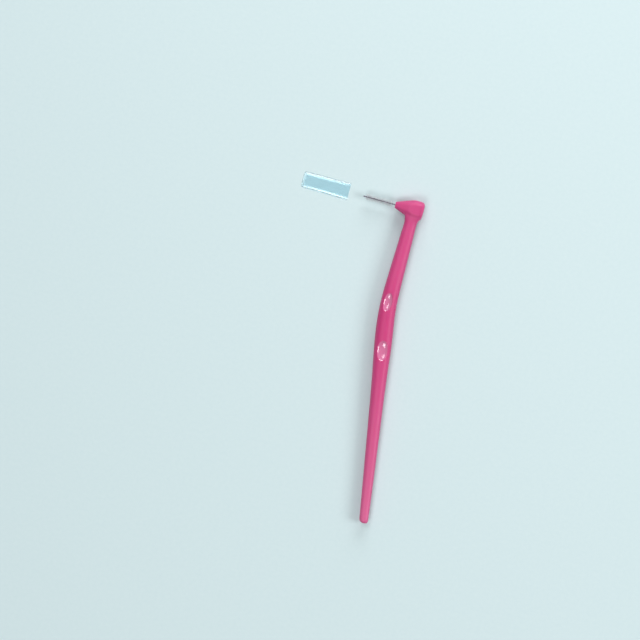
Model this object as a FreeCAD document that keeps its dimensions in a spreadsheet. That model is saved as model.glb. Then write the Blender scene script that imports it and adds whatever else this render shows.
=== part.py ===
import FreeCAD, Part
import math
import os

import Sketcher

doc = FreeCAD.newDocument("interdental_brush")
V = FreeCAD.Vector

# Driving sizes, in millimetres and degrees. X runs along the wire with its tip towards -X,
# the neck leaves towards -Y, and the brush lies on the plane Z = 0
SIZES = [
    ("body_thick", 5.0),
    ("snout_reach", 6.0),
    ("mouth_radius", 0.95),
    ("mouth_half_thick", 0.9),
    ("head_radius", 2.98),
    ("cone_angle", 20.6),
    ("shoulder_round", 2.2),
    ("head_back", 2.85),
    ("back_round", 1.1),
    ("rim_groove_at", 1.9),
    ("rim_groove_width", 0.22),
    ("rim_groove_depth", 0.14),
    ("neck_lean", 0.2),
    ("neck_length", 31.0),
    ("tail_lean", 9.2),
    ("tail_length", 66.1),
    ("section_fullness", 2.3),
    ("neck_root_width", 3.6),
    ("neck_root_thick", 3.6),
    ("neck_mid_width", 4.1),
    ("neck_mid_thick", 3.9),
    ("neck_low_width", 4.65),
    ("neck_low_thick", 4.8),
    ("grip_crown", 0.12),
    ("bend_width", 5.0),
    ("grip_width", 5.6),
    ("grip_end_width", 4.7),
    ("shank_width", 4.15),
    ("shank_thick", 4.4),
    ("tail_upper_width", 3.85),
    ("tail_upper_thick", 3.7),
    ("tail_mid_width", 3.5),
    ("tail_mid_thick", 3.15),
    ("tail_lower_width", 3.1),
    ("tail_lower_thick", 2.8),
    ("tail_end_width", 2.75),
    ("tail_end_thick", 2.5),
    ("tail_tip_width", 1.1),
    ("tail_end_round", 1.3),
    ("neck_fillet", 0.9),
    ("upper_dimple_at", 29.3),
    ("upper_dimple_side", -0.2),
    ("upper_dimple_width", 2.7),
    ("upper_dimple_length", 5.6),
    ("lower_dimple_at", 13.2),
    ("lower_dimple_side", 0.1),
    ("lower_dimple_width", 3.5),
    ("lower_dimple_length", 6.0),
    ("dimple_depth", 0.6),
    ("wire_diameter", 0.4),
    ("wire_free", 10.1),
    ("wire_anchor", 4.6),
    ("wire_pitch", 0.9),
    ("tip_coat", 0.03),
    ("channel_clear", 0.02),
    ("filament_diameter", 0.06),
    ("filament_pitch_share", 1.2),
    ("bristle_diameter", 2.0),
    ("bristle_bare", 1.1),
    ("bristle_tip_bare", 0.35),
    ("cap_seat_at", 2.7),
    ("cap_clear", 0.06),
    ("cap_wall", 0.4),
    ("cap_end_wall", 0.6),
    ("cap_tip_room", 0.7),
    ("cap_end_taper", 0.1),
    ("cap_corner", 0.3),
    ("cap_end_round", 0.6),
    ("cap_off_gap", 4.5),
]

sheet = doc.addObject("Spreadsheet::Sheet", "sizes")
for row, (alias, value) in enumerate(SIZES, start=1):
    sheet.set("A%d" % row, alias)
    sheet.set("B%d" % row, str(value))
    sheet.setAlias("B%d" % row, alias)
doc.recompute()


def size(alias):
    return float(sheet.get(alias))


def cell(text):
    """Put the sheet's name before each alias in a formula."""
    words = text
    for alias in sorted((name for name, _ in SIZES), key=len, reverse=True):
        words = words.replace("<%s>" % alias, "sizes.%s" % alias)
    return words


def bind(thing, prop, formula):
    thing.setExpression(prop, cell(formula))


def plane(body, role):
    for feature in body.Origin.OriginFeatures:
        if feature.Role == role:
            return feature
    raise ValueError(role)


def new_body(label):
    body = doc.addObject("PartDesign::Body", label)
    body.Label = label
    return body


def new_sketch(body, name, role):
    sketch = body.newObject("Sketcher::SketchObject", name)
    sketch.AttachmentSupport = [(plane(body, role), "")]
    sketch.MapMode = "FlatFace"
    return sketch


def value_of(formula):
    """Number that a formula of sheet sizes gives now."""
    probe = sheet.evalExpression(cell(formula).replace("sizes.", ""))
    return float(probe)


# Sketch helpers
def named(sketch, name, constraint, formula):
    index = sketch.addConstraint(constraint)
    sketch.renameConstraint(index, name)
    bind(sketch, "Constraints." + name, formula)


def rounded_rectangle(sketch, width, height, corner):
    """Rounded rectangle centred on the sketch origin, driven by three formulas."""
    a = value_of(width) / 2
    b = value_of(height) / 2
    r = value_of(corner)
    quarter = math.pi / 2
    corners = [(a - r, -b + r, 3), (a - r, b - r, 0), (-a + r, b - r, 1), (-a + r, -b + r, 2)]
    sides = [
        (V(-a + r, -b), V(a - r, -b)),
        (V(a, -b + r), V(a, b - r)),
        (V(a - r, b), V(-a + r, b)),
        (V(-a, b - r), V(-a, -b + r)),
    ]
    for (start, end), (x, y, turn) in zip(sides, corners):
        sketch.addGeometry(Part.LineSegment(start, end), False)
        circle = Part.Circle(V(x, y), V(0, 0, 1), r)
        arc = Part.ArcOfCircle(circle, turn * quarter, (turn + 1) * quarter)
        sketch.addGeometry(arc, False)
    for i in range(8):
        sketch.addConstraint(Sketcher.Constraint("Tangent", i, 2, (i + 1) % 8, 1))
    sketch.addConstraint(Sketcher.Constraint("Symmetric", 0, 1, 0, 2, -2))
    sketch.addConstraint(Sketcher.Constraint("Symmetric", 2, 1, 2, 2, -1))
    sketch.addConstraint(Sketcher.Constraint("Horizontal", 4))
    sketch.addConstraint(Sketcher.Constraint("Vertical", 6))
    for arc in (3, 5, 7):
        sketch.addConstraint(Sketcher.Constraint("Equal", 1, arc))
    named(sketch, "corner", Sketcher.Constraint("Radius", 1, r), corner)
    named(sketch, "width", Sketcher.Constraint("DistanceX", 6, 1, 2, 1, 2 * a), width)
    named(sketch, "height", Sketcher.Constraint("DistanceY", 0, 1, 4, 1, 2 * b), height)


def polygon(sketch, points):
    """Closed run of lines through points, each given as two formulas."""
    spots = [V(value_of(x), value_of(y)) for x, y in points]
    first = sketch.GeometryCount
    count = len(spots)
    for i in range(count):
        sketch.addGeometry(Part.LineSegment(spots[i], spots[(i + 1) % count]), False)
    for i in range(count):
        sketch.addConstraint(Sketcher.Constraint("Coincident", first + i, 2, first + (i + 1) % count, 1))
    for i, (x, y) in enumerate(points):
        place_point(sketch, first + i, 1, "p%d" % (first + i), x, y)
    return first


def place_point(sketch, edge, end, name, x, y):
    """Fix a point of a sketch by its distances from the sketch origin."""
    if value_of(x) == 0:
        sketch.addConstraint(Sketcher.Constraint("PointOnObject", edge, end, -2))
    else:
        named(sketch, name + "x", Sketcher.Constraint("DistanceX", -1, 1, edge, end, value_of(x)), x)
    if value_of(y) == 0:
        sketch.addConstraint(Sketcher.Constraint("PointOnObject", edge, end, -1))
    else:
        named(sketch, name + "y", Sketcher.Constraint("DistanceY", -1, 1, edge, end, value_of(y)), y)


# Handle
NECK_X = "-sin(<neck_lean>) * (%s)"
NECK_Y = "-cos(<neck_lean>) * (%s)"
TAIL_X = NECK_X % "<neck_length>" + " + sin(<tail_lean>) * (%s)"
TAIL_Y = NECK_Y % "<neck_length>" + " - cos(<tail_lean>) * (%s)"
RING = 16


def centre_line(at):
    """Point and lean of the handle's centreline at a distance from the wire's axis."""
    neck = size("neck_length")
    neck_lean = -math.radians(size("neck_lean"))
    tail_lean = math.radians(size("tail_lean"))
    straight = min(at, neck)
    beyond = max(at - neck, 0)
    x = straight * math.sin(neck_lean) + beyond * math.sin(tail_lean)
    y = -straight * math.cos(neck_lean) - beyond * math.cos(tail_lean)
    if at < neck:
        return V(x, y), neck_lean
    if at > neck:
        return V(x, y), tail_lean
    return V(x, y), (neck_lean + tail_lean) / 2


def oval_poles(at, width, thick):
    """Ring of poles round the centreline for a full oval section of the given size."""
    middle, lean = centre_line(at)
    across = V(math.cos(lean), math.sin(lean))
    up = V(0, 0, 1)
    swell = 3 / (2 + math.cos(2 * math.pi / RING))
    power = 2 / size("section_fullness")
    poles = []
    for i in range(RING):
        angle = 2 * math.pi * i / RING
        c = math.cos(angle)
        s = math.sin(angle)
        side = math.copysign(abs(c) ** power, c) * swell * width / 2
        rise = math.copysign(abs(s) ** power, s) * swell * thick / 2
        poles.append(middle + across * side + up * rise)
    return poles


def smooth_skin(rings):
    """Closed solid whose side is one cubic surface over rings of poles."""
    count = len(rings)
    spans = count - 3
    along_mults = [4] + [1] * (spans - 1) + [4]
    along_knots = [float(i) for i in range(spans + 1)]
    ring_mults = [1] * (RING + 1)
    ring_knots = [float(i) for i in range(RING + 1)]
    surface = Part.BSplineSurface()
    surface.buildFromPolesMultsKnots(rings, along_mults, ring_mults, along_knots, ring_knots,
                                     False, True, 3, 3)
    side = surface.toShape()
    ends = []
    for edge in side.Edges:
        if edge.isClosed() and not edge.isSeam(side):
            ends.append(Part.Face(Part.Wire([edge])))
    shell = Part.Shell([side] + ends)
    shell.sewShape()
    return Part.Solid(shell)


def both_sides(points):
    """A polygon above the middle plane and its mirror image below it."""
    return [points, [(x, "-(%s)" % y) for x, y in points]]


def flat_cut(body, name, role, points, length):
    """Pocket of a polygon and its mirror image, equal to both sides of an origin plane."""
    sketch = new_sketch(body, name + "_outline", role)
    for shape in both_sides(points):
        polygon(sketch, shape)
    pocket = body.newObject("PartDesign::Pocket", name)
    pocket.Profile = sketch
    pocket.SideType = "Symmetric"
    bind(pocket, "Length", length)
    return pocket


def turned_cut(body, name, points):
    """Groove turned about the wire's axis."""
    sketch = new_sketch(body, name + "_outline", "XY_Plane")
    polygon(sketch, points)
    groove = body.newObject("PartDesign::Groove", name)
    groove.Profile = sketch
    groove.ReferenceAxis = (sketch, ["H_Axis"])
    groove.Angle = 360
    return groove


def box_points(low_x, high_x, low_y, high_y):
    return [(low_x, low_y), (high_x, low_y), (high_x, high_y), (low_x, high_y)]


def dimple(body, name, x, y, lean, width, length, side):
    """Oval finger dimple in the front (side 1) or the back (side -1) of the grip."""
    cut = body.newObject("PartDesign::SubtractiveEllipsoid", name)
    cut.AttachmentSupport = [(plane(body, "XY_Plane"), "")]
    cut.MapMode = "FlatFace"
    cut.AttachmentOffset = FreeCAD.Placement(V(0, 0, 0), FreeCAD.Rotation(V(0, 0, 1), 1))
    bind(cut, "AttachmentOffset.Base.x", x)
    bind(cut, "AttachmentOffset.Base.y", y)
    bind(cut, "AttachmentOffset.Base.z", "%d * <body_thick> / 2" % side)
    bind(cut, "AttachmentOffset.Rotation.Angle", lean)
    bind(cut, "Radius1", "<dimple_depth>")
    bind(cut, "Radius2", "%s / 2" % width)
    bind(cut, "Radius3", "%s / 2" % length)
    return cut


def make_stick():
    """Neck, grip and tail: oval sections at even steps, closing to a rounded tail tip."""
    neck_length = size("neck_length")
    tail_length = size("tail_length")
    grip_thick = size("body_thick") + 2 * size("grip_crown")
    neck = [
        (size("neck_root_width"), size("neck_root_thick")),
        (size("neck_mid_width"), size("neck_mid_thick")),
        (size("neck_low_width"), size("neck_low_thick")),
    ]
    tail = [
        (size("bend_width"), grip_thick),
        (size("grip_width"), grip_thick),
        (size("grip_end_width"), grip_thick),
        (size("shank_width"), size("shank_thick")),
        (size("tail_upper_width"), size("tail_upper_thick")),
        (size("tail_mid_width"), size("tail_mid_thick")),
        (size("tail_lower_width"), size("tail_lower_thick")),
        (size("tail_end_width"), size("tail_end_thick")),
    ]
    rings = []
    for step, (width, thick) in enumerate(neck):
        rings.append(oval_poles(neck_length * step / len(neck), width, thick))
    straight = tail_length - size("tail_end_round")
    for step, (width, thick) in enumerate(tail):
        rings.append(oval_poles(neck_length + straight * step / (len(tail) - 1), width, thick))
    tip_share = size("tail_tip_width") / size("tail_end_width")
    end_width, end_thick = tail[-1]
    rings.append(oval_poles(neck_length + tail_length - size("tail_end_round") / 4, end_width, end_thick))
    rings.append(oval_poles(neck_length + tail_length, end_width * tip_share, end_thick * tip_share))
    stick = doc.addObject("Part::Feature", "handle_stick")
    stick.Shape = smooth_skin(rings)
    return stick


def head_outline(body):
    """Half outline of the head: mouth, cone, rounded shoulder, barrel, rounded back and axis."""
    snout = size("snout_reach")
    mouth = size("mouth_radius")
    radius = size("head_radius")
    back = size("head_back")
    edge_r = size("back_round")
    shoulder_r = size("shoulder_round")
    cone = math.radians(size("cone_angle"))
    barrel_x = -snout + (radius - mouth) / math.tan(cone)
    trim = shoulder_r * math.tan(cone / 2)
    cone_end = V(barrel_x - trim * math.cos(cone), radius - trim * math.sin(cone))
    barrel_start = V(barrel_x + trim, radius)
    sketch = new_sketch(body, "head_outline", "XY_Plane")
    up = V(0, 0, 1)
    quarter = math.pi / 2
    shoulder = Part.Circle(V(barrel_start.x, radius - shoulder_r), up, shoulder_r)
    corner = Part.Circle(V(back - edge_r, radius - edge_r), up, edge_r)
    sketch.addGeometry(Part.LineSegment(V(-snout, 0), V(-snout, mouth)), False)
    sketch.addGeometry(Part.LineSegment(V(-snout, mouth), cone_end), False)
    sketch.addGeometry(Part.ArcOfCircle(shoulder, quarter, quarter + cone), False)
    sketch.addGeometry(Part.LineSegment(barrel_start, V(back - edge_r, radius)), False)
    sketch.addGeometry(Part.ArcOfCircle(corner, 0, quarter), False)
    sketch.addGeometry(Part.LineSegment(V(back, radius - edge_r), V(back, 0)), False)
    sketch.addGeometry(Part.LineSegment(V(back, 0), V(-snout, 0)), False)
    for first, first_end, second, second_end in ((0, 2, 1, 1), (5, 2, 6, 1), (6, 2, 0, 1)):
        sketch.addConstraint(Sketcher.Constraint("Coincident", first, first_end, second, second_end))
    for first, first_end, second, second_end in ((1, 2, 2, 2), (2, 1, 3, 1), (3, 2, 4, 2), (4, 1, 5, 1)):
        sketch.addConstraint(Sketcher.Constraint("Tangent", first, first_end, second, second_end))
    sketch.addConstraint(Sketcher.Constraint("Vertical", 0))
    sketch.addConstraint(Sketcher.Constraint("Horizontal", 3))
    sketch.addConstraint(Sketcher.Constraint("Vertical", 5))
    sketch.addConstraint(Sketcher.Constraint("PointOnObject", 0, 1, -1))
    sketch.addConstraint(Sketcher.Constraint("PointOnObject", 5, 2, -1))
    named(sketch, "snout", Sketcher.Constraint("DistanceX", 0, 1, -1, 1, snout), "<snout_reach>")
    named(sketch, "back", Sketcher.Constraint("DistanceX", -1, 1, 5, 2, back), "<head_back>")
    named(sketch, "mouth", Sketcher.Constraint("DistanceY", -1, 1, 0, 2, mouth), "<mouth_radius>")
    named(sketch, "barrel", Sketcher.Constraint("DistanceY", -1, 1, 3, 1, radius), "<head_radius>")
    named(sketch, "shoulder", Sketcher.Constraint("Radius", 2, shoulder_r), "<shoulder_round>")
    named(sketch, "corner", Sketcher.Constraint("Radius", 4, edge_r), "<back_round>")
    named(sketch, "cone", Sketcher.Constraint("Angle", 1, cone), "<cone_angle>")
    return sketch


def seam_edges(shape):
    """Names of the edges where the smooth stick meets the turned head."""
    names = []
    for index, edge in enumerate(shape.Edges, start=1):
        kinds = set()
        for face in shape.ancestorsOfType(edge, Part.Face):
            kinds.add(face.Surface.TypeId == "Part::GeomBSplineSurface")
        if len(kinds) == 2 and edge.BoundBox.YMax > -2 * size("head_radius"):
            names.append("Edge%d" % index)
    return names


def make_handle():
    body = new_body("handle")
    body.BaseFeature = make_stick()
    doc.recompute()

    head = body.newObject("PartDesign::Revolution", "head")
    head.Profile = head_outline(body)
    head.ReferenceAxis = (head.Profile[0], ["H_Axis"])
    head.Angle = 360
    doc.recompute()

    # Soft corner where the neck runs into the head
    corner = body.newObject("PartDesign::Fillet", "neck_corner")
    corner.Base = (head, seam_edges(head.Shape))
    bind(corner, "Radius", "<neck_fillet>")
    doc.recompute()

    # Flats of the head and grip that the brush lies on, front and back alike
    reach = "<neck_length> + <tail_length> + <body_thick>"
    over = "<body_thick> / 2 + <head_radius>"
    flat_cut(body, "flats", "YZ_Plane",
             box_points("-(%s)" % reach, "2 * <head_radius>", "<body_thick> / 2", over), "2 * <tail_length>")

    # Sloping facets of the snout, front and back, that the cap slides up
    slope = "((%s) - <mouth_half_thick>) / (<snout_reach> - <cap_seat_at>)" % SEAT_HALF_THICK
    ahead = "<head_radius>"
    facet_start = "<mouth_half_thick> - (%s) * %s" % (slope, ahead)
    facet_end = "-<snout_reach> + (<body_thick> / 2 - <mouth_half_thick>) / (%s)" % slope
    facet = [
        ("-<snout_reach> - " + ahead, facet_start),
        (facet_end, "<body_thick> / 2"),
        (facet_end, over),
        ("-<snout_reach> - " + ahead, over),
    ]
    flat_cut(body, "facets", "XZ_Plane", facet, "2.2 * <head_radius>")

    # Fine groove round the back rim of the head
    groove = ("<rim_groove_at> - <rim_groove_width> / 2", "<rim_groove_at> + <rim_groove_width> / 2")
    turned_cut(body, "rim_groove",
               box_points(*groove, "<head_radius> - <rim_groove_depth>", "<head_radius> + <rim_groove_width>"))
    flat_cut(body, "rim_groove_flats", "XZ_Plane",
             box_points(*groove, "<body_thick> / 2 - <rim_groove_depth>", over), "2 * <head_radius>")

    # Finger dimples
    upper_x = NECK_X % "<upper_dimple_at>" + " + <upper_dimple_side>"
    upper_y = NECK_Y % "<upper_dimple_at>"
    lower_x = TAIL_X % "<lower_dimple_at>" + " + <lower_dimple_side>"
    lower_y = TAIL_Y % "<lower_dimple_at>"
    for side, face in ((1, "front"), (-1, "back")):
        dimple(body, "upper_dimple_" + face, upper_x, upper_y, "-<neck_lean>",
               "<upper_dimple_width>", "<upper_dimple_length>", side)
        dimple(body, "lower_dimple_" + face, lower_x, lower_y, "<tail_lean>",
               "<lower_dimple_width>", "<lower_dimple_length>", side)

    # Blind channel that the wire is moulded into
    turned_cut(body, "wire_channel",
               box_points("-<snout_reach> - <wire_diameter>", "-<snout_reach> + <wire_anchor>",
                          "0", "<wire_diameter> / 2 + <channel_clear>"))
    bind(body, "Placement.Base.z", "<body_thick> / 2")
    return body


# Cap
SEAT_RADIUS = "<mouth_radius> + (<snout_reach> - <cap_seat_at>) * tan(<cone_angle>)"
SEAT_HALF_THICK = "<body_thick> / 2 - <cap_wall> - <cap_clear>"
CAP_LENGTH = "<snout_reach> + <wire_free> - <cap_seat_at> + <cap_tip_room> + <cap_end_wall>"


def cap_section(body, name, x, half_width, half_height, corner):
    sketch = new_sketch(body, name, "YZ_Plane")
    bind(sketch, "AttachmentOffset.Base.z", x)
    rounded_rectangle(sketch, "2 * (%s)" % half_width, "2 * (%s)" % half_height, corner)
    return sketch


def cap_loft(body, kind, name, depth, wall):
    half_width = SEAT_RADIUS + " + <cap_clear> + " + wall
    half_height = "<body_thick> / 2 - <cap_wall> + " + wall
    corner = "<cap_corner> + " + wall
    loft = body.newObject(kind, name)
    loft.Profile = cap_section(body, name + "_mouth", "0", half_width, half_height, corner)
    narrow = half_width + " - <cap_end_taper>"
    loft.Sections = [cap_section(body, name + "_end", "-(%s)" % depth, narrow, half_height, corner)]
    return loft


def make_cap():
    body = new_body("protective_cap")
    shell = cap_loft(body, "PartDesign::AdditiveLoft", "shell", CAP_LENGTH, "<cap_wall>")
    doc.recompute()
    end_x = -value_of(CAP_LENGTH)
    rim = []
    for index, edge in enumerate(shell.Shape.Edges, start=1):
        if all(abs(corner.Point.x - end_x) < 1e-6 for corner in edge.Vertexes):
            rim.append("Edge%d" % index)
    dome = body.newObject("PartDesign::Fillet", "closed_end")
    dome.Base = (shell, rim)
    bind(dome, "Radius", "<cap_end_round>")
    cap_loft(body, "PartDesign::SubtractiveLoft", "hollow", CAP_LENGTH + " - <cap_end_wall>", "0")
    bind(body, "Placement.Base.x", "-(<snout_reach> + <wire_free> + <cap_off_gap>)")
    bind(body, "Placement.Base.z", "<body_thick> / 2")
    return body


# Twisted wire
LEG_RADIUS = "(<wire_diameter> - <filament_diameter>) / 4"
HELIX_RADIUS = "<filament_diameter> / 2 + (%s)" % LEG_RADIUS
TWIST_START = "<snout_reach> - <wire_anchor> + <wire_diameter> / 2"
TWIST_LENGTH = "<wire_free> + <wire_anchor> - <wire_diameter>"


def wire_frame(turn):
    """Frame at the anchored end of the twist: local Z runs along the wire to its tip."""
    start = V(-value_of(TWIST_START), 0, size("body_thick") / 2)
    along = FreeCAD.Placement(start, FreeCAD.Rotation(V(0, 1, 0), -90))
    return along.multiply(FreeCAD.Placement(V(0, 0, 0), FreeCAD.Rotation(V(0, 0, 1), turn)))


def twist_path(radius, pitch, length):
    """Helix drawn as arcs of a quarter turn, the last one cut to the length."""
    quarters = int(math.ceil(4 * length / pitch))
    arcs = []
    for i in range(quarters):
        spots = []
        for share in (i, i + 0.5, i + 1):
            rise = length * share / quarters
            angle = 2 * math.pi * rise / pitch
            spots.append(V(radius * math.cos(angle), radius * math.sin(angle), rise))
        arcs.append(Part.Arc(*spots).toShape())
    return Part.Wire(arcs)


def make_leg(name, turn):
    """One leg of the folded wire, a round rod wound about the wire's axis."""
    radius = value_of(HELIX_RADIUS)
    pitch = size("wire_pitch")
    path = doc.addObject("Part::Feature", name + "_path")
    path.Shape = twist_path(radius, pitch, value_of(TWIST_LENGTH))
    path.Placement = wire_frame(turn)
    tilt = math.degrees(math.atan2(2 * math.pi * radius, pitch))
    section = doc.addObject("Part::Circle", name + "_section")
    bind(section, "Radius", LEG_RADIUS)
    square = FreeCAD.Placement(V(radius, 0, 0), FreeCAD.Rotation(V(1, 0, 0), -tilt))
    section.Placement = wire_frame(turn).multiply(square)
    leg = doc.addObject("Part::Sweep", name)
    leg.Sections = [section]
    leg.Spine = (path, ["Edge%d" % (i + 1) for i in range(len(path.Shape.Edges))])
    leg.Solid = True
    leg.Transition = "Transformed"
    leg.Frenet = False
    return leg


def make_wire():
    """One wire folded in two and twisted, with its coated fold as a round tip."""
    legs = [make_leg("front_leg", 0), make_leg("back_leg", 180)]
    tip = doc.addObject("Part::Sphere", "folded_tip")
    bind(tip, "Radius", "<wire_diameter> / 2 + <tip_coat>")
    bind(tip, "Placement.Base.x", "-(<snout_reach> + <wire_free> - <wire_diameter> / 2 - <tip_coat>)")
    bind(tip, "Placement.Base.z", "<body_thick> / 2")
    wire = doc.addObject("Part::MultiFuse", "core_wire")
    wire.Shapes = legs + [tip]
    wire.Label = "core_wire"
    return wire


def make_bristles():
    """Filaments held between the two legs, each square to them where it passes through."""
    pitch = size("wire_pitch")
    step = size("filament_diameter") * size("filament_pitch_share")
    first = size("snout_reach") + size("bristle_bare")
    last = size("snout_reach") + size("wire_free") - size("wire_diameter") - size("bristle_tip_bare")
    count = int((last - first) / step) + 1
    length = size("bristle_diameter")
    height = size("body_thick") / 2
    filaments = []
    for i in range(count):
        along = first + i * step
        turn = 360 * (along - value_of(TWIST_START)) / pitch
        frame = wire_frame(turn)
        across = frame.Rotation.multVec(V(0, 1, 0))
        middle = V(-along, 0, height)
        filaments.append(Part.makeCylinder(size("filament_diameter") / 2, length, middle - across * (length / 2), across))
    bristles = doc.addObject("Part::Feature", "bristles")
    bristles.Label = "bristles"
    bristles.Shape = Part.makeCompound(filaments)
    bristles.Placement = FreeCAD.Placement()
    return bristles


def main():
    nodes = [make_handle(), make_wire(), make_bristles(), make_cap()]
    doc.recompute()
    for thing in doc.Objects:
        if "Invalid" in thing.State or "Error" in thing.State:
            raise RuntimeError("%s did not build: %s" % (thing.Label, thing.State))
    for node in nodes:
        if node.Shape.isNull() or not node.Shape.isValid():
            raise RuntimeError(node.Label + " has no valid shape")
    os.makedirs("parts", exist_ok=True)
    for node in nodes:
        node.Shape.exportStep("parts/%s.step" % node.Label)
        box = node.Shape.BoundBox
        print("%s: %d solids, %.3f mm3" % (node.Label, len(node.Shape.Solids), node.Shape.Volume), box)


main()
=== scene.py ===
import math
import random

import bpy
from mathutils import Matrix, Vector


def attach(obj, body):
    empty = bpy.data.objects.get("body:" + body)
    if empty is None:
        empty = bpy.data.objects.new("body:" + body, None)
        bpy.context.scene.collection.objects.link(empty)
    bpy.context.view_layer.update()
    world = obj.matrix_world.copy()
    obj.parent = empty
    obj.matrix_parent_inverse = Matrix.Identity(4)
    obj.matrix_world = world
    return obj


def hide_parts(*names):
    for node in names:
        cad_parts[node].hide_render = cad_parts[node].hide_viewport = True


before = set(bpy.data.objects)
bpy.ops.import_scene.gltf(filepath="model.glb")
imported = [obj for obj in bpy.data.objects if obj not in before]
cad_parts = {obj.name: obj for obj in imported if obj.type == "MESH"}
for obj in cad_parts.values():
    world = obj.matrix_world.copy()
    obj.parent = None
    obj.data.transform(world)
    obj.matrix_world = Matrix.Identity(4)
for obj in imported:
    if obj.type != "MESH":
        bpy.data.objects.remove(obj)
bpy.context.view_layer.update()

MM = 0.001

# Sizes are in millimetres, in the frame of the part: the wire lies along X with its tip towards -X,
# the neck leaves the head towards -Y, and the middle plane is at MID above the floor
MID = 2.5
SNOUT = 6.0
SMOOTH_ANGLE = math.radians(40)

# Vertices in a ring of the handle, how far out a ring's vertices lie so that smoothing brings the
# surface to size, and the fullness of the stick's oval, where 2 is an ellipse
RING = 32
SWELL = 3 / (2 + math.cos(2 * math.pi / RING))
FULLNESS = 2.3

# Control sections of the stick from the head to the tail: x, y, width and thickness
STICK = [
    (0.00, 0.00, 3.60, 3.60),
    (-0.04, -10.33, 4.10, 3.90),
    (-0.07, -20.67, 4.65, 4.74),
    (-0.11, -31.00, 5.03, 5.03),
    (1.37, -40.14, 5.67, 4.97),
    (2.85, -49.28, 4.76, 4.98),
    (4.33, -58.41, 4.20, 4.40),
    (5.81, -67.55, 3.90, 3.70),
    (7.29, -76.69, 3.54, 3.15),
    (8.77, -85.83, 3.14, 2.80),
    (10.19, -94.97, 2.79, 2.50),
]

# Where the stick starts, outside the head, and ends, counted in control sections, and the steps
# between its rings: fine ones within reach of a dimple
STICK_START = 0.41
STICK_END = 10.0
STICK_SLACK = 0.03
FINE_STEP = 0.045
FINE_REACH = 4.2
COARSE_STEP = 0.3

# Rounding of the tail: distance past its last section and share of that section's size
TAIL_ROUND = [(0.55, 0.97), (0.95, 0.82), (1.2, 0.5), (1.28, 0.2)]
TAIL_LEAN = 0.16

# Turned outline of the head along the wire's axis: x and radius, from the wire's hole to the back
HEAD = [
    (-5.20, 0.215), (-5.97, 0.215), (-6.00, 0.26), (-6.00, 0.80), (-5.97, 0.93), (-5.86, 1.00),
    (-5.40, 1.18), (-4.60, 1.48), (-3.80, 1.78), (-3.00, 2.08), (-2.30, 2.34), (-1.60, 2.60),
    (-0.95, 2.83), (-0.30, 2.96), (0.30, 2.98), (0.90, 2.98), (1.40, 2.98), (1.85, 2.97),
    (2.20, 2.88), (2.55, 2.62), (2.78, 2.25), (2.86, 1.80), (2.86, 0.90),
]
# The snout's facets: half thickness at the mouth and slope. Then the stretch that the neck leaves
MOUTH_HALF = 0.9
FACET_SLOPE = 0.3455
NECK_FROM = -2.3
NECK_TO = 2.2

# Finger dimples: centre, lean of the long axis in degrees, half width and half length at the height
# of the crown, and depth. The rim is rounded, and the polished finish, with the floor's painted
# reflection, starts just inside it
DIMPLES = [
    (-0.50, -29.30, -0.2, 1.56, 2.95, 0.76),
    (1.98, -44.03, 9.2, 2.00, 3.10, 0.78),
]
DIMPLE_RIM = 0.14
# The bowl's depth grows with this power of the way in from its oval, eased at the oval itself
DIMPLE_POWER = 0.6
DIMPLE_EASE = 0.06
# The faces of the grip are divided finely where the bowl is no higher than this above the crown
DIMPLE_MARGIN = 0.22

# Parting line along the sides of the stick, where the halves of the mould met: first and last y,
# the length over which it fades at its ends, and the rise of its ridge
PARTING_FROM = -6.0
PARTING_TO = -93.0
PARTING_FADE = 2.0
PARTING_RISE = 0.03
ON_MIDDLE = 0.01

# Groove round the back rim of the head, which stops where the neck grows out
GROOVE_X = 1.9
GROOVE_WIDTH = 0.2
GROOVE_DEPTH = 0.14
GROOVE_RADIUS = 2.84
GROOVE_STOP = -1.7
CUTTER_SPREAD = 1.4
SLIVER = 0.004


def clean_slate():
    """Leave edit mode and select nothing."""
    if bpy.context.object and bpy.context.object.mode != "OBJECT":
        bpy.ops.object.mode_set(mode="OBJECT")
    bpy.ops.object.select_all(action="DESELECT")


def only(piece):
    clean_slate()
    piece.select_set(True)
    bpy.context.view_layer.objects.active = piece


def apply_modifier(piece, kind, **settings):
    only(piece)
    modifier = piece.modifiers.new(kind.lower(), kind)
    for key, value in settings.items():
        setattr(modifier, key, value)
    bpy.ops.object.modifier_apply(modifier=modifier.name)


def settle(piece):
    """Put the piece's place into its mesh, with the object at the origin."""
    only(piece)
    bpy.ops.object.transform_apply(location=True, rotation=True, scale=True)


def edit_all():
    """Enter edit mode with all of the active piece selected."""
    bpy.ops.object.mode_set(mode="EDIT")
    bpy.ops.mesh.select_mode(type="EDGE")
    bpy.ops.mesh.select_all(action="SELECT")


def select_nothing(piece):
    for part in (piece.data.vertices, piece.data.edges, piece.data.polygons):
        for item in part:
            item.select = False


def edit_faces(piece, wanted):
    """Enter edit mode with the faces selected that answer a question."""
    only(piece)
    select_nothing(piece)
    for face in piece.data.polygons:
        face.select = wanted(face)
    bpy.ops.object.mode_set(mode="EDIT")
    bpy.ops.mesh.select_mode(type="FACE")


def next_ring(step, scale, centre):
    """Extrude the selected ring and scale it about its new centre."""
    bpy.ops.mesh.extrude_region_move(TRANSFORM_OT_translate={"value": Vector(step) * MM})
    bpy.ops.transform.resize(value=scale, center_override=Vector(centre) * MM)


def turn_outward():
    """Make all faces of the piece in edit mode point outwards."""
    bpy.ops.mesh.select_all(action="SELECT")
    bpy.ops.mesh.normals_make_consistent(inside=False)


def limit_rise(vertex, limit):
    """Bring a vertex within a distance of the middle plane."""
    rise = vertex.co.z / MM - MID
    vertex.co.z = (MID + max(-limit, min(limit, rise))) * MM


def name_piece(piece, name):
    piece.name = name
    piece.data.name = name


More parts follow.
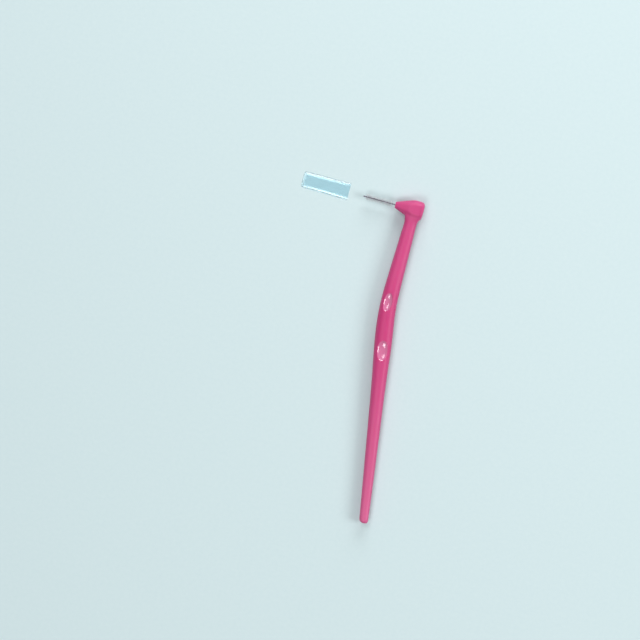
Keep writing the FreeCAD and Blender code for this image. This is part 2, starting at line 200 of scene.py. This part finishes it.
# Handle
def along_stick(t):
    """Section of the stick at t, on the smooth curve that the control sections steer."""
    first = [2 * a - b for a, b in zip(STICK[0], STICK[1])]
    last = [2 * a - b for a, b in zip(STICK[-1], STICK[-2])]
    steer = [first] + STICK + [last]
    i = min(int(t), len(steer) - 4)
    u = t - i
    shares = (
        (1 - u) ** 3,
        3 * u ** 3 - 6 * u ** 2 + 4,
        -3 * u ** 3 + 3 * u ** 2 + 3 * u + 1,
        u ** 3,
    )
    return [sum(s * p[k] for s, p in zip(shares, steer[i:i + 4])) / 6 for k in range(4)]


def stick_steps():
    """Places of the rings along the stick: close together at the dimples, wide apart elsewhere."""
    steps = [STICK_START]
    while steps[-1] < STICK_END - STICK_SLACK:
        y = along_stick(steps[-1])[1]
        near = min(abs(y - dimple[1]) for dimple in DIMPLES)
        steps.append(steps[-1] + (FINE_STEP if near < FINE_REACH else COARSE_STEP))
    steps[-1] = STICK_END
    return steps


def make_stick():
    """Neck, grip and tail: one ring extruded and scaled from the head to a round tail end."""
    steps = stick_steps()
    x, y, width, thick = along_stick(steps[0])
    clean_slate()
    bpy.ops.mesh.primitive_circle_add(vertices=RING, radius=SWELL * MM,
                                      rotation=(math.pi / 2, 0, 0))
    stick = bpy.context.object
    settle(stick)
    for vertex in stick.data.vertices:
        spot = vertex.co / (SWELL * MM)
        for k in (0, 2):
            spot[k] = math.copysign(abs(spot[k]) ** (2 / FULLNESS), spot[k])
        across = spot.x * SWELL * width / 2
        rise = spot.z * SWELL * thick / 2
        vertex.co = Vector((x + across, y, MID + rise)) * MM
    edit_all()
    rings = [along_stick(t) for t in steps[1:]]
    end = rings[-1]
    for down, share in TAIL_ROUND:
        rings.append((end[0] + down * TAIL_LEAN, end[1] - down, end[2] * share, end[3] * share))
    last = (x, y, width, thick)
    for ring in rings:
        step = (ring[0] - last[0], ring[1] - last[1], 0)
        next_ring(step, (ring[2] / last[2], 1, ring[3] / last[3]), (ring[0], ring[1], MID))
        last = ring
    bpy.ops.mesh.edge_face_add()
    clean_slate()
    return stick


def facet_height(x):
    """Half thickness of the head at x: the snout's sloping facets, then the flats."""
    return min(MID, MOUTH_HALF + (x + SNOUT) * FACET_SLOPE)


def make_head():
    """Head: rings extruded from the wire's hole over the mouth, up the snout and round the back."""
    x, radius = HEAD[0]
    clean_slate()
    bpy.ops.mesh.primitive_circle_add(vertices=RING, radius=radius * MM,
                                      rotation=(0, math.pi / 2, 0),
                                      location=Vector((x, 0, MID)) * MM)
    head = bpy.context.object
    settle(head)
    edit_all()
    last = (x, radius)
    for x, radius in HEAD[1:]:
        share = radius / last[1]
        next_ring((x - last[0], 0, 0), (1, share, share), (x, 0, MID))
        last = (x, radius)
    bpy.ops.mesh.edge_face_add()
    bpy.ops.mesh.poke()
    # The blind end of the wire's hole
    bpy.ops.mesh.select_all(action="SELECT")
    bpy.ops.mesh.fill_holes(sides=0)
    clean_slate()
    for vertex in head.data.vertices:
        limit_rise(vertex, facet_height(vertex.co.x / MM))
    return head


def neck_opening(face):
    """True for the faces of the head that the neck grows out of."""
    x, y, z = face.center / MM
    return NECK_FROM < x < NECK_TO and y < 0 and abs(z - MID) < -y


def dimple_depth(spot):
    """Depth of the nearer bowl below the crown at a point, less than 0 outside its oval."""
    depths = []
    for x, y, lean, half_width, half_length, depth in DIMPLES:
        lean = math.radians(lean)
        dx = spot.x / MM - x
        dy = spot.y / MM - y
        across = dx * math.cos(lean) + dy * math.sin(lean)
        along = -dx * math.sin(lean) + dy * math.cos(lean)
        inside = 1 - (across / half_width) ** 2 - (along / half_length) ** 2
        depths.append(depth * inside * (abs(inside) + DIMPLE_EASE) ** (DIMPLE_POWER - 1))
    return max(depths)


def near_dimple(face):
    """True for the faces on the front and the back of the grip that the dimples go into."""
    rise = abs(face.center.z / MM - MID)
    return dimple_depth(face.center) > -DIMPLE_MARGIN and rise > MID / 4


def press_dimples(handle):
    """Press the finger dimples into the front and the back of the grip, and mark where they are
    polished; the mark also sets the painted reflection on their floors.
    """
    edit_faces(handle, near_dimple)
    bpy.ops.mesh.subdivide(number_cuts=2, smoothness=1.0)
    clean_slate()
    polish_and_painted_reflection = handle.data.attributes.new("polish_and_painted_reflection", "FLOAT", "POINT")
    for vertex, mark in zip(handle.data.vertices, polish_and_painted_reflection.data):
        depth = dimple_depth(vertex.co)
        if depth > 0:
            rise = vertex.co.z / MM - MID
            over = abs(rise) - (MID - depth)
            blend = max(1 - abs(over) / DIMPLE_RIM, 0)
            pressed = min(abs(rise), MID - depth) - blend ** 2 * DIMPLE_RIM / 4
            vertex.co.z = (MID + math.copysign(pressed, rise)) * MM
            mark.value = max(0, min(over / DIMPLE_RIM, 1))


def raise_parting_line(handle):
    """Raise a fine ridge along the middle plane of the stick's sides."""
    crest = [
        (vertex, vertex.normal.copy()) for vertex in handle.data.vertices
        if abs(vertex.co.z / MM - MID) < ON_MIDDLE
        and PARTING_TO < vertex.co.y / MM < PARTING_FROM
    ]
    for vertex, normal in crest:
        y = vertex.co.y / MM
        fade = min(min(PARTING_FROM - y, y - PARTING_TO) / PARTING_FADE, 1)
        vertex.co += normal * PARTING_RISE * fade * MM


def cut_rim_groove(handle):
    """Cut a fine groove round the back rim of the head, down to where the neck grows out."""
    start = (GROOVE_X - GROOVE_WIDTH / 2, 0, MID)
    clean_slate()
    bpy.ops.mesh.primitive_circle_add(vertices=3 * RING, radius=GROOVE_RADIUS * MM,
                                      rotation=(0, math.pi / 2, 0), location=Vector(start) * MM)
    cutter = bpy.context.object
    settle(cutter)
    for vertex in cutter.data.vertices:
        limit_rise(vertex, MID - GROOVE_DEPTH)
    edit_all()
    next_ring((0, 0, 0), (1, CUTTER_SPREAD, CUTTER_SPREAD), start)
    bpy.ops.mesh.select_all(action="SELECT")
    across = Vector((GROOVE_WIDTH, 0, 0)) * MM
    bpy.ops.mesh.extrude_region_move(TRANSFORM_OT_translate={"value": across})
    bpy.ops.mesh.select_all(action="SELECT")
    bpy.ops.mesh.bisect(plane_co=Vector((0, GROOVE_STOP, 0)) * MM, plane_no=(0, -1, 0),
                        use_fill=True, clear_outer=True)
    turn_outward()
    apply_modifier(handle, "BOOLEAN", operation="DIFFERENCE", object=cutter, solver="EXACT")
    bpy.data.objects.remove(cutter)
    # Slivers that the cut leaves along its edges
    edit_all()
    bpy.ops.mesh.remove_doubles(threshold=SLIVER * MM)
    bpy.ops.mesh.dissolve_degenerate(threshold=SLIVER / 2 * MM)
    apply_modifier(handle, "TRIANGULATE", min_vertices=5, ngon_method="BEAUTY")


def make_handle():
    """One moulding: the stick grown out of the head, smoothed, with its fine forms."""
    stick = make_stick()
    handle = make_head()
    edit_faces(handle, neck_opening)
    bpy.ops.mesh.delete(type="FACE")
    only(handle)
    stick.select_set(True)
    bpy.ops.object.join()
    edit_all()
    bpy.ops.mesh.select_non_manifold(extend=False, use_wire=False, use_boundary=True,
                                     use_multi_face=False, use_non_contiguous=False,
                                     use_verts=False)
    bpy.ops.mesh.bridge_edge_loops(number_cuts=2)
    turn_outward()
    apply_modifier(handle, "SUBSURF", levels=2, render_levels=2)
    raise_parting_line(handle)
    press_dimples(handle)
    cut_rim_groove(handle)
    only(handle)
    bpy.ops.object.shade_smooth_by_angle(angle=SMOOTH_ANGLE)
    name_piece(handle, "moulded_handle")
    return handle


# Wire and bristles, made along Z and then laid along the wire's axis
WIRE_DIAMETER = 0.4
WIRE_FREE = 10.1
WIRE_ANCHOR = 4.6
WIRE_PITCH = 0.9
WIRE_CORNERS = 14
STEPS_PER_TURN = 28
TIP_RADIUS = 0.21
TIP_SINK = 0.02
TIP_FLATTEN = 0.95
FILAMENT = 0.06
BRISTLE_DIAMETER = 2.0
BRISTLE_BARE = 1.1
BRISTLE_TIP_BARE = 0.35
BRISTLE_STEP = 0.036
LEG_RADIUS = (WIRE_DIAMETER - FILAMENT) / 4
LEG_OFFSET = FILAMENT / 2 + LEG_RADIUS
TWIST_START = SNOUT - WIRE_ANCHOR + WIRE_DIAMETER / 2
TWIST_LENGTH = WIRE_FREE + WIRE_ANCHOR - WIRE_DIAMETER

# One filament: half of its straight middle, then reach and share of the width from there to the end
FILAMENT_MIDDLE = 0.15
FILAMENT_ENDS = [(0.55, 0.97), (0.97, 0.92), (1.0, 0.5)]

# Ruffle of the bristles, as spreads: swing about the wire in radians, tilt and bow in millimetres
# along the wire at the filament's end, and the share that is cut short
RUFFLE_SWING = 0.10
RUFFLE_TILT = 0.05
RUFFLE_BOW = 0.05
RUFFLE_CUT = 0.03


def lay_along_wire(piece):
    """Turn a piece made along Z onto the wire's axis, its foot at the anchored end of the twist."""
    piece.rotation_euler = (0, -math.pi / 2, 0)
    piece.location = Vector((-TWIST_START, 0, MID)) * MM
    settle(piece)
    bpy.ops.object.shade_smooth()


def make_wire():
    """Two legs of one folded wire, twisted together, with the coated fold as a round tip."""
    slant = math.atan2(2 * math.pi * LEG_OFFSET, WIRE_PITCH)
    clean_slate()
    bpy.ops.mesh.primitive_circle_add(vertices=WIRE_CORNERS, radius=LEG_RADIUS * MM,
                                      location=(LEG_OFFSET * MM, 0, 0))
    wire = bpy.context.object
    wire.scale.y = 1 / math.cos(slant)
    settle(wire)
    edit_all()
    bpy.ops.mesh.duplicate_move()
    bpy.ops.transform.resize(value=(-1, -1, 1), center_override=(0, 0, 0))
    turns = TWIST_LENGTH / WIRE_PITCH
    steps = int(STEPS_PER_TURN * turns)
    apply_modifier(wire, "SCREW", axis="Z", angle=2 * math.pi * turns,
                   screw_offset=TWIST_LENGTH * MM, steps=steps, render_steps=steps,
                   use_smooth_shade=True)
    clean_slate()
    bpy.ops.mesh.primitive_uv_sphere_add(segments=24, ring_count=14, radius=TIP_RADIUS * MM,
                                         location=(0, 0, (TWIST_LENGTH - TIP_SINK) * MM))
    tip = bpy.context.object
    tip.scale.z = TIP_FLATTEN
    settle(tip)
    only(wire)
    tip.select_set(True)
    bpy.ops.object.join()
    # The ends of the legs
    edit_all()
    bpy.ops.mesh.fill_holes(sides=0)
    turn_outward()
    lay_along_wire(wire)
    name_piece(wire, "twisted_wire")
    return wire


def make_filament():
    """One filament across the wire: a fine rod in five lengths, its cut ends a little rounded."""
    clean_slate()
    bpy.ops.mesh.primitive_cylinder_add(vertices=6, radius=FILAMENT / 2 * MM,
                                        depth=2 * FILAMENT_MIDDLE * MM, end_fill_type="NOTHING",
                                        rotation=(math.pi / 2, 0, 0))
    filament = bpy.context.object
    settle(filament)
    for side in (1, -1):
        only(filament)
        select_nothing(filament)
        corners = filament.data.vertices
        for vertex in corners:
            vertex.select = vertex.co.y * side > FILAMENT_MIDDLE / 2 * MM
        for edge in filament.data.edges:
            edge.select = all(corners[i].select for i in edge.vertices)
        bpy.ops.object.mode_set(mode="EDIT")
        bpy.ops.mesh.select_mode(type="VERT")
        at = FILAMENT_MIDDLE
        for reach, share in FILAMENT_ENDS:
            next_ring((0, side * (reach - at), 0), (share, 1, share), (0, side * reach, 0))
            at = reach
        bpy.ops.mesh.edge_face_add()
        clean_slate()
    return filament


def ruffle(bristles, count, first):
    """Swing, tilt, bow and shorten each filament by chance."""
    corners = len(bristles.data.vertices) // count
    chance = random.Random(7)
    for i in range(count):
        height = (first + i * BRISTLE_STEP) * MM
        turn = chance.gauss(0, RUFFLE_SWING)
        tilt = chance.gauss(0, RUFFLE_TILT)
        bow = chance.gauss(0, RUFFLE_BOW)
        cut = 1 - abs(chance.gauss(0, RUFFLE_CUT))
        for vertex in bristles.data.vertices[i * corners:(i + 1) * corners]:
            x, y, z = vertex.co.x, vertex.co.y, vertex.co.z - height
            reach = math.hypot(x, y) / (BRISTLE_DIAMETER / 2 * MM)
            side = 1 if x + y > 0 else -1
            c, s = math.cos(turn * reach), math.sin(turn * reach)
            x, y = x * c - y * s, x * s + y * c
            z += (tilt * side * reach + bow * reach ** 2) * MM
            vertex.co = Vector((x * cut, y * cut, z + height))


def make_bristles():
    """Filaments copied along the twist, each turned with the wire, then ruffled a little."""
    bristles = make_filament()
    first = SNOUT + BRISTLE_BARE - TWIST_START
    last = SNOUT + WIRE_FREE - WIRE_DIAMETER - BRISTLE_TIP_BARE - TWIST_START
    count = int((last - first) / BRISTLE_STEP) + 1
    bristles.location = (0, 0, first * MM)
    bristles.rotation_euler = (0, 0, 2 * math.pi * first / WIRE_PITCH)
    settle(bristles)
    step = bpy.data.objects.new("step", None)
    bpy.context.scene.collection.objects.link(step)
    step.location = (0, 0, BRISTLE_STEP * MM)
    step.rotation_euler = (0, 0, 2 * math.pi * BRISTLE_STEP / WIRE_PITCH)
    apply_modifier(bristles, "ARRAY", fit_type="FIXED_COUNT", count=count,
                   use_relative_offset=False, use_object_offset=True, offset_object=step)
    bpy.data.objects.remove(step)
    ruffle(bristles, count, first)
    lay_along_wire(bristles)
    name_piece(bristles, "nylon_bristles")
    return bristles


# Cap: x, half width and half height at stations from the inner closed end, out over the mouth's rim
# and back along the outside to the rounded outer end, the share of a half side that the rounding of
# its corner takes, and the vertices in a ring
CAP = [
    (-34.70, 1.75, 1.70), (-34.68, 1.95, 1.90), (-34.58, 2.10, 2.05), (-34.35, 2.15, 2.10),
    (-28.00, 2.20, 2.10), (-20.68, 2.25, 2.10), (-20.62, 2.27, 2.12), (-20.60, 2.31, 2.16),
    (-20.60, 2.59, 2.44), (-20.62, 2.63, 2.48), (-20.68, 2.65, 2.50), (-28.00, 2.60, 2.50),
    (-34.70, 2.55, 2.50), (-34.93, 2.50, 2.45), (-35.12, 2.37, 2.32), (-35.25, 2.18, 2.13),
    (-35.30, 1.95, 1.90),
]
CAP_CORNER = 0.28
CAP_RING = 64


def make_cap():
    """Clear cap: one rounded square ring extruded out to the rim and back along the outside."""
    x, half_width, half_height = CAP[0]
    clean_slate()
    bpy.ops.mesh.primitive_circle_add(vertices=CAP_RING, radius=MM)
    cap = bpy.context.object
    for i, vertex in enumerate(cap.data.vertices):
        angle = 2 * math.pi * (i + 0.5) / CAP_RING
        c, s = math.cos(angle), math.sin(angle)
        across = math.copysign(1 - CAP_CORNER, c) + CAP_CORNER * c
        rise = math.copysign(1 - CAP_CORNER, s) + CAP_CORNER * s
        vertex.co = Vector((x, across * half_width, MID + rise * half_height)) * MM
    only(cap)
    edit_all()
    bpy.ops.mesh.edge_face_add()
    bpy.ops.mesh.region_to_loop()
    last = CAP[0]
    for station in CAP[1:]:
        x, half_width, half_height = station
        scale = (1, half_width / last[1], half_height / last[2])
        next_ring((x - last[0], 0, 0), scale, (x, 0, MID))
        last = station
    bpy.ops.mesh.edge_face_add()
    turn_outward()
    only(cap)
    bpy.ops.object.shade_smooth_by_angle(angle=SMOOTH_ANGLE)
    # Keeps the long sides flat to the eye, so that their highlights run straight
    apply_modifier(cap, "WEIGHTED_NORMAL", keep_sharp=True)
    name_piece(cap, "clear_cap")
    return cap


# Materials. The scale of a pattern is given as its cells per millimetre
def linear(code):
    """sRGB hex colour as linear red, green, blue and alpha."""
    parts = [int(code[i:i + 2], 16) / 255 for i in (1, 3, 5)]
    return [c / 12.92 if c <= 0.04045 else ((c + 0.055) / 1.055) ** 2.4 for c in parts] + [1.0]


def add(tree, kind, inputs=None, **settings):
    """Add a node, set its own settings, then fill or link its inputs."""
    node = tree.nodes.new(kind)
    for key, value in settings.items():
        setattr(node, key, value)
    for key, value in (inputs or {}).items():
        if isinstance(value, bpy.types.NodeSocket):
            tree.links.new(value, node.inputs[key])
        else:
            node.inputs[key].default_value = value
    return node


def new_material(name):
    """Material with its node tree, its main shader and the place on the piece."""
    material = bpy.data.materials.new(name)
    material.use_nodes = True
    tree = material.node_tree
    place = add(tree, "ShaderNodeTexCoord").outputs["Object"]
    return material, tree, tree.nodes["Principled BSDF"], place


# Shade of the handle along its length, from the tail to the head: y in millimetres and colour
HANDLE_SHADES = [
    (-97, "#d05e8e"), (-81, "#cd5286"), (-55, "#c83d7b"), (-42, "#c53074"), (-30, "#c53074"),
    (-18, "#c93c7b"), (3, "#c93e7d"),
]


def handle_shade(tree, place):
    """Colour of the handle along its length: deepest over the grip, a little paler towards the head
    and palest towards the tail.
    """
    spot = add(tree, "ShaderNodeSeparateXYZ", {"Vector": place})
    tail, head = HANDLE_SHADES[0][0], HANDLE_SHADES[-1][0]
    along = add(tree, "ShaderNodeMapRange",
                {"Value": spot.outputs["Y"], "From Min": tail * MM, "From Max": head * MM})
    shade = add(tree, "ShaderNodeValToRGB", {"Fac": along.outputs["Result"]})
    stops = shade.color_ramp.elements
    for y, colour in HANDLE_SHADES[1:-1]:
        stops.new((y - tail) / (head - tail))
    for stop, (y, colour) in zip(stops, HANDLE_SHADES):
        stop.color = linear(colour)
    return shade.outputs["Color"]


def moulded_polypropylene():
    """Pink polypropylene, moulded: satin from an etched mould and glossy where the mould is
    polished, in the dimples, whose floors are painted paler as a painted reflection. Light sinks in
    a little, and faint flow clouds show."""
    material, tree, skin, place = new_material("pink moulded polypropylene")
    polish_and_painted_reflection = add(tree, "ShaderNodeAttribute", attribute_name="polish_and_painted_reflection").outputs["Fac"]
    # Flow clouds about 6 mm wide
    clouds = add(tree, "ShaderNodeTexNoise",
                 {"Vector": place, "Scale": 0.16 / MM, "Detail": 3.0}).outputs["Fac"]
    share = add(tree, "ShaderNodeMath", {0: clouds, 1: 0.25}, operation="MULTIPLY")
    tint = add(tree, "ShaderNodeMix",
               {"Factor": share.outputs["Value"], "A": handle_shade(tree, place),
                "B": linear("#d85a92")}, data_type="RGBA")
    # Painted reflection: the dimples' floors are painted a paler pink, as if they mirrored the
    # bright room
    share = add(tree, "ShaderNodeMath", {0: polish_and_painted_reflection, 1: 0.6}, operation="MULTIPLY")
    pale = add(tree, "ShaderNodeMix",
               {"Factor": share.outputs["Value"], "A": tint.outputs["Result"],
                "B": linear("#e08fb4")}, data_type="RGBA")
    tree.links.new(pale.outputs["Result"], skin.inputs["Base Color"])
    # Etched grain of a quarter millimetre, gone where the mould is polished
    grain = add(tree, "ShaderNodeTexNoise",
                {"Vector": place, "Scale": 4 / MM, "Detail": 2.0}).outputs["Fac"]
    etch = add(tree, "ShaderNodeMapRange", {"Value": polish_and_painted_reflection, "To Min": 0.05, "To Max": 0.0})
    bump = add(tree, "ShaderNodeBump",
               {"Height": grain, "Strength": etch.outputs["Result"], "Distance": 0.02 * MM})
    tree.links.new(bump.outputs["Normal"], skin.inputs["Normal"])
    satin = add(tree, "ShaderNodeMapRange", {"Value": polish_and_painted_reflection, "To Min": 0.48, "To Max": 0.08})
    tree.links.new(satin.outputs["Result"], skin.inputs["Roughness"])
    tree.links.new(polish_and_painted_reflection, skin.inputs["Coat Weight"])
    skin.inputs["Coat Roughness"].default_value = 0.11
    skin.inputs["Coat IOR"].default_value = 1.6
    skin.inputs["IOR"].default_value = 1.49
    skin.inputs["Subsurface Weight"].default_value = 0.25
    skin.inputs["Subsurface Radius"].default_value = (1.2 * MM, 0.5 * MM, 0.7 * MM)
    skin.inputs["Subsurface Scale"].default_value = 1.0
    return material


def mottled(tree, place, cells, detail, dark, light):
    """Colour that wanders between two shades."""
    noise = add(tree, "ShaderNodeTexNoise",
                {"Vector": place, "Scale": cells / MM, "Detail": detail})
    tint = add(tree, "ShaderNodeValToRGB", {"Fac": noise.outputs["Fac"]})
    tint.color_ramp.elements[0].color = linear(dark)
    tint.color_ramp.elements[1].color = linear(light)
    return tint.outputs["Color"]


def coated_steel():
    """Stainless wire, drawn and coated with a thin plastic film: violet grey, softly shiny and
    mottled at 0.4 mm."""
    material, tree, skin, place = new_material("coated stainless wire")
    tree.links.new(mottled(tree, place, 2.5, 2.0, "#63576c", "#897e94"),
                   skin.inputs["Base Color"])
    skin.inputs["Metallic"].default_value = 0.9
    skin.inputs["Roughness"].default_value = 0.35
    return material


def nylon_filament():
    """Nylon, drawn to filaments: milky, lets light through, with a slight sheen. Its shade
    wanders at a third of a millimetre."""
    material, tree, skin, place = new_material("drawn nylon filament")
    tree.links.new(mottled(tree, place, 3, 2.0, "#e3e6ea", "#f6f7f8"), skin.inputs["Base Color"])
    skin.inputs["Roughness"].default_value = 0.35
    skin.inputs["IOR"].default_value = 1.53
    skin.inputs["Transmission Weight"].default_value = 0.4
    return material


def clear_plastic():
    """Clear plastic, moulded and polished, with faint waves 4 mm long: its long edges read bright
    and its middle pale blue. For that its index is eased from 1.49 and its coat is strong."""
    material, tree, skin, place = new_material("clear moulded plastic")
    waves = add(tree, "ShaderNodeTexNoise", {"Vector": place, "Scale": 0.25 / MM}).outputs["Fac"]
    bump = add(tree, "ShaderNodeBump", {"Height": waves, "Strength": 0.01, "Distance": 0.1 * MM})
    tree.links.new(bump.outputs["Normal"], skin.inputs["Normal"])
    skin.inputs["Base Color"].default_value = linear("#e0f8ff")
    skin.inputs["Roughness"].default_value = 0.06
    skin.inputs["IOR"].default_value = 1.25
    skin.inputs["Transmission Weight"].default_value = 0.94
    skin.inputs["Coat Weight"].default_value = 1.0
    skin.inputs["Coat Roughness"].default_value = 0.17
    skin.inputs["Coat IOR"].default_value = 2.2
    return material


def pale_card():
    """Matt pale board for the floor, with fibres about a millimetre long."""
    material, tree, skin, place = new_material("pale matt board")
    tree.links.new(mottled(tree, place, 0.9, 4.0, "#c8dbde", "#cfe0e2"),
                   skin.inputs["Base Color"])
    skin.inputs["Roughness"].default_value = 0.8
    return material


def dress(piece, material):
    piece.data.materials.clear()
    piece.data.materials.append(material)


# Studio. The camera looks straight down and is turned, so lamps are placed in the picture's own
# directions, in metres from the middle of the brush: right, up and over it
PICTURE_TURN = math.radians(15.4)
PICTURE_CENTRE = Vector((-18.8, -40.0, 0)) * MM
PICTURE_WIDTH = 195.2 * MM
CAMERA_HEIGHT = 0.9
SENSOR_WIDTH = 36
RIGHT = Vector((math.cos(PICTURE_TURN), math.sin(PICTURE_TURN), 0))
UP = Vector((-math.sin(PICTURE_TURN), math.cos(PICTURE_TURN), 0))
OVER = Vector((0, 0, 1))
AIM = Vector((0, -45, 0)) * MM
FLOOR_SIZE = 3.0
FLOOR_GAP = 0.05

# Lamps: name, place to the right, up and over, width and height in metres, and power in watts
LAMPS = [
    ("top softbox", 0.15, 0.64, 0.28, 0.50, 0.40, 3.2),
    ("right lamp", 0.57, -0.12, 0.47, 0.30, 0.34, 2.3),
    ("upper left lamp", -0.17, 0.32, 0.66, 0.30, 0.30, 1.1),
    ("lower left lamp", -0.19, -0.31, 0.66, 0.30, 0.30, 1.7),
]


def place_camera():
    camera = bpy.data.objects.new("camera", bpy.data.cameras.new("camera"))
    bpy.context.scene.collection.objects.link(camera)
    camera.location = PICTURE_CENTRE + OVER * CAMERA_HEIGHT
    camera.rotation_euler = (0, 0, PICTURE_TURN)
    camera.data.sensor_width = SENSOR_WIDTH
    camera.data.lens = SENSOR_WIDTH * (CAMERA_HEIGHT - MID * MM) / PICTURE_WIDTH
    camera.data.clip_start = 0.01
    bpy.context.scene.camera = camera


def light_studio():
    for name, right, up, over, width, height, power in LAMPS:
        lamp = bpy.data.objects.new(name, bpy.data.lights.new(name, "AREA"))
        bpy.context.scene.collection.objects.link(lamp)
        lamp.data.shape = "RECTANGLE"
        lamp.data.size = width
        lamp.data.size_y = height
        lamp.data.energy = power
        lamp.location = AIM + RIGHT * right + UP * up + OVER * over
        lamp.rotation_euler = (AIM - lamp.location).to_track_quat("-Z", "Y").to_euler()
    world = bpy.data.worlds.new("studio")
    world.use_nodes = True
    air = world.node_tree.nodes["Background"]
    air.inputs["Color"].default_value = linear("#eef2f3")
    air.inputs["Strength"].default_value = 0.26
    bpy.context.scene.world = world
    bpy.context.scene.view_settings.view_transform = "Standard"


def lay_floor():
    clean_slate()
    bpy.ops.mesh.primitive_plane_add(size=FLOOR_SIZE, location=(0, 0, -FLOOR_GAP * MM))
    floor = bpy.context.object
    floor.name = "floor"
    dress(floor, pale_card())


handle = make_handle()
dress(handle, moulded_polypropylene())
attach(handle, "brush")
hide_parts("handle")

wire = make_wire()
dress(wire, coated_steel())
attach(wire, "brush")
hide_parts("core_wire")

bristles = make_bristles()
dress(bristles, nylon_filament())
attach(bristles, "brush")
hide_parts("bristles")

cap = make_cap()
dress(cap, clear_plastic())
# Clear plastic leaves the floor under it light
cap.visible_shadow = False
cap.visible_diffuse = False
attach(cap, "cap")
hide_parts("protective_cap")

lay_floor()
place_camera()
light_studio()
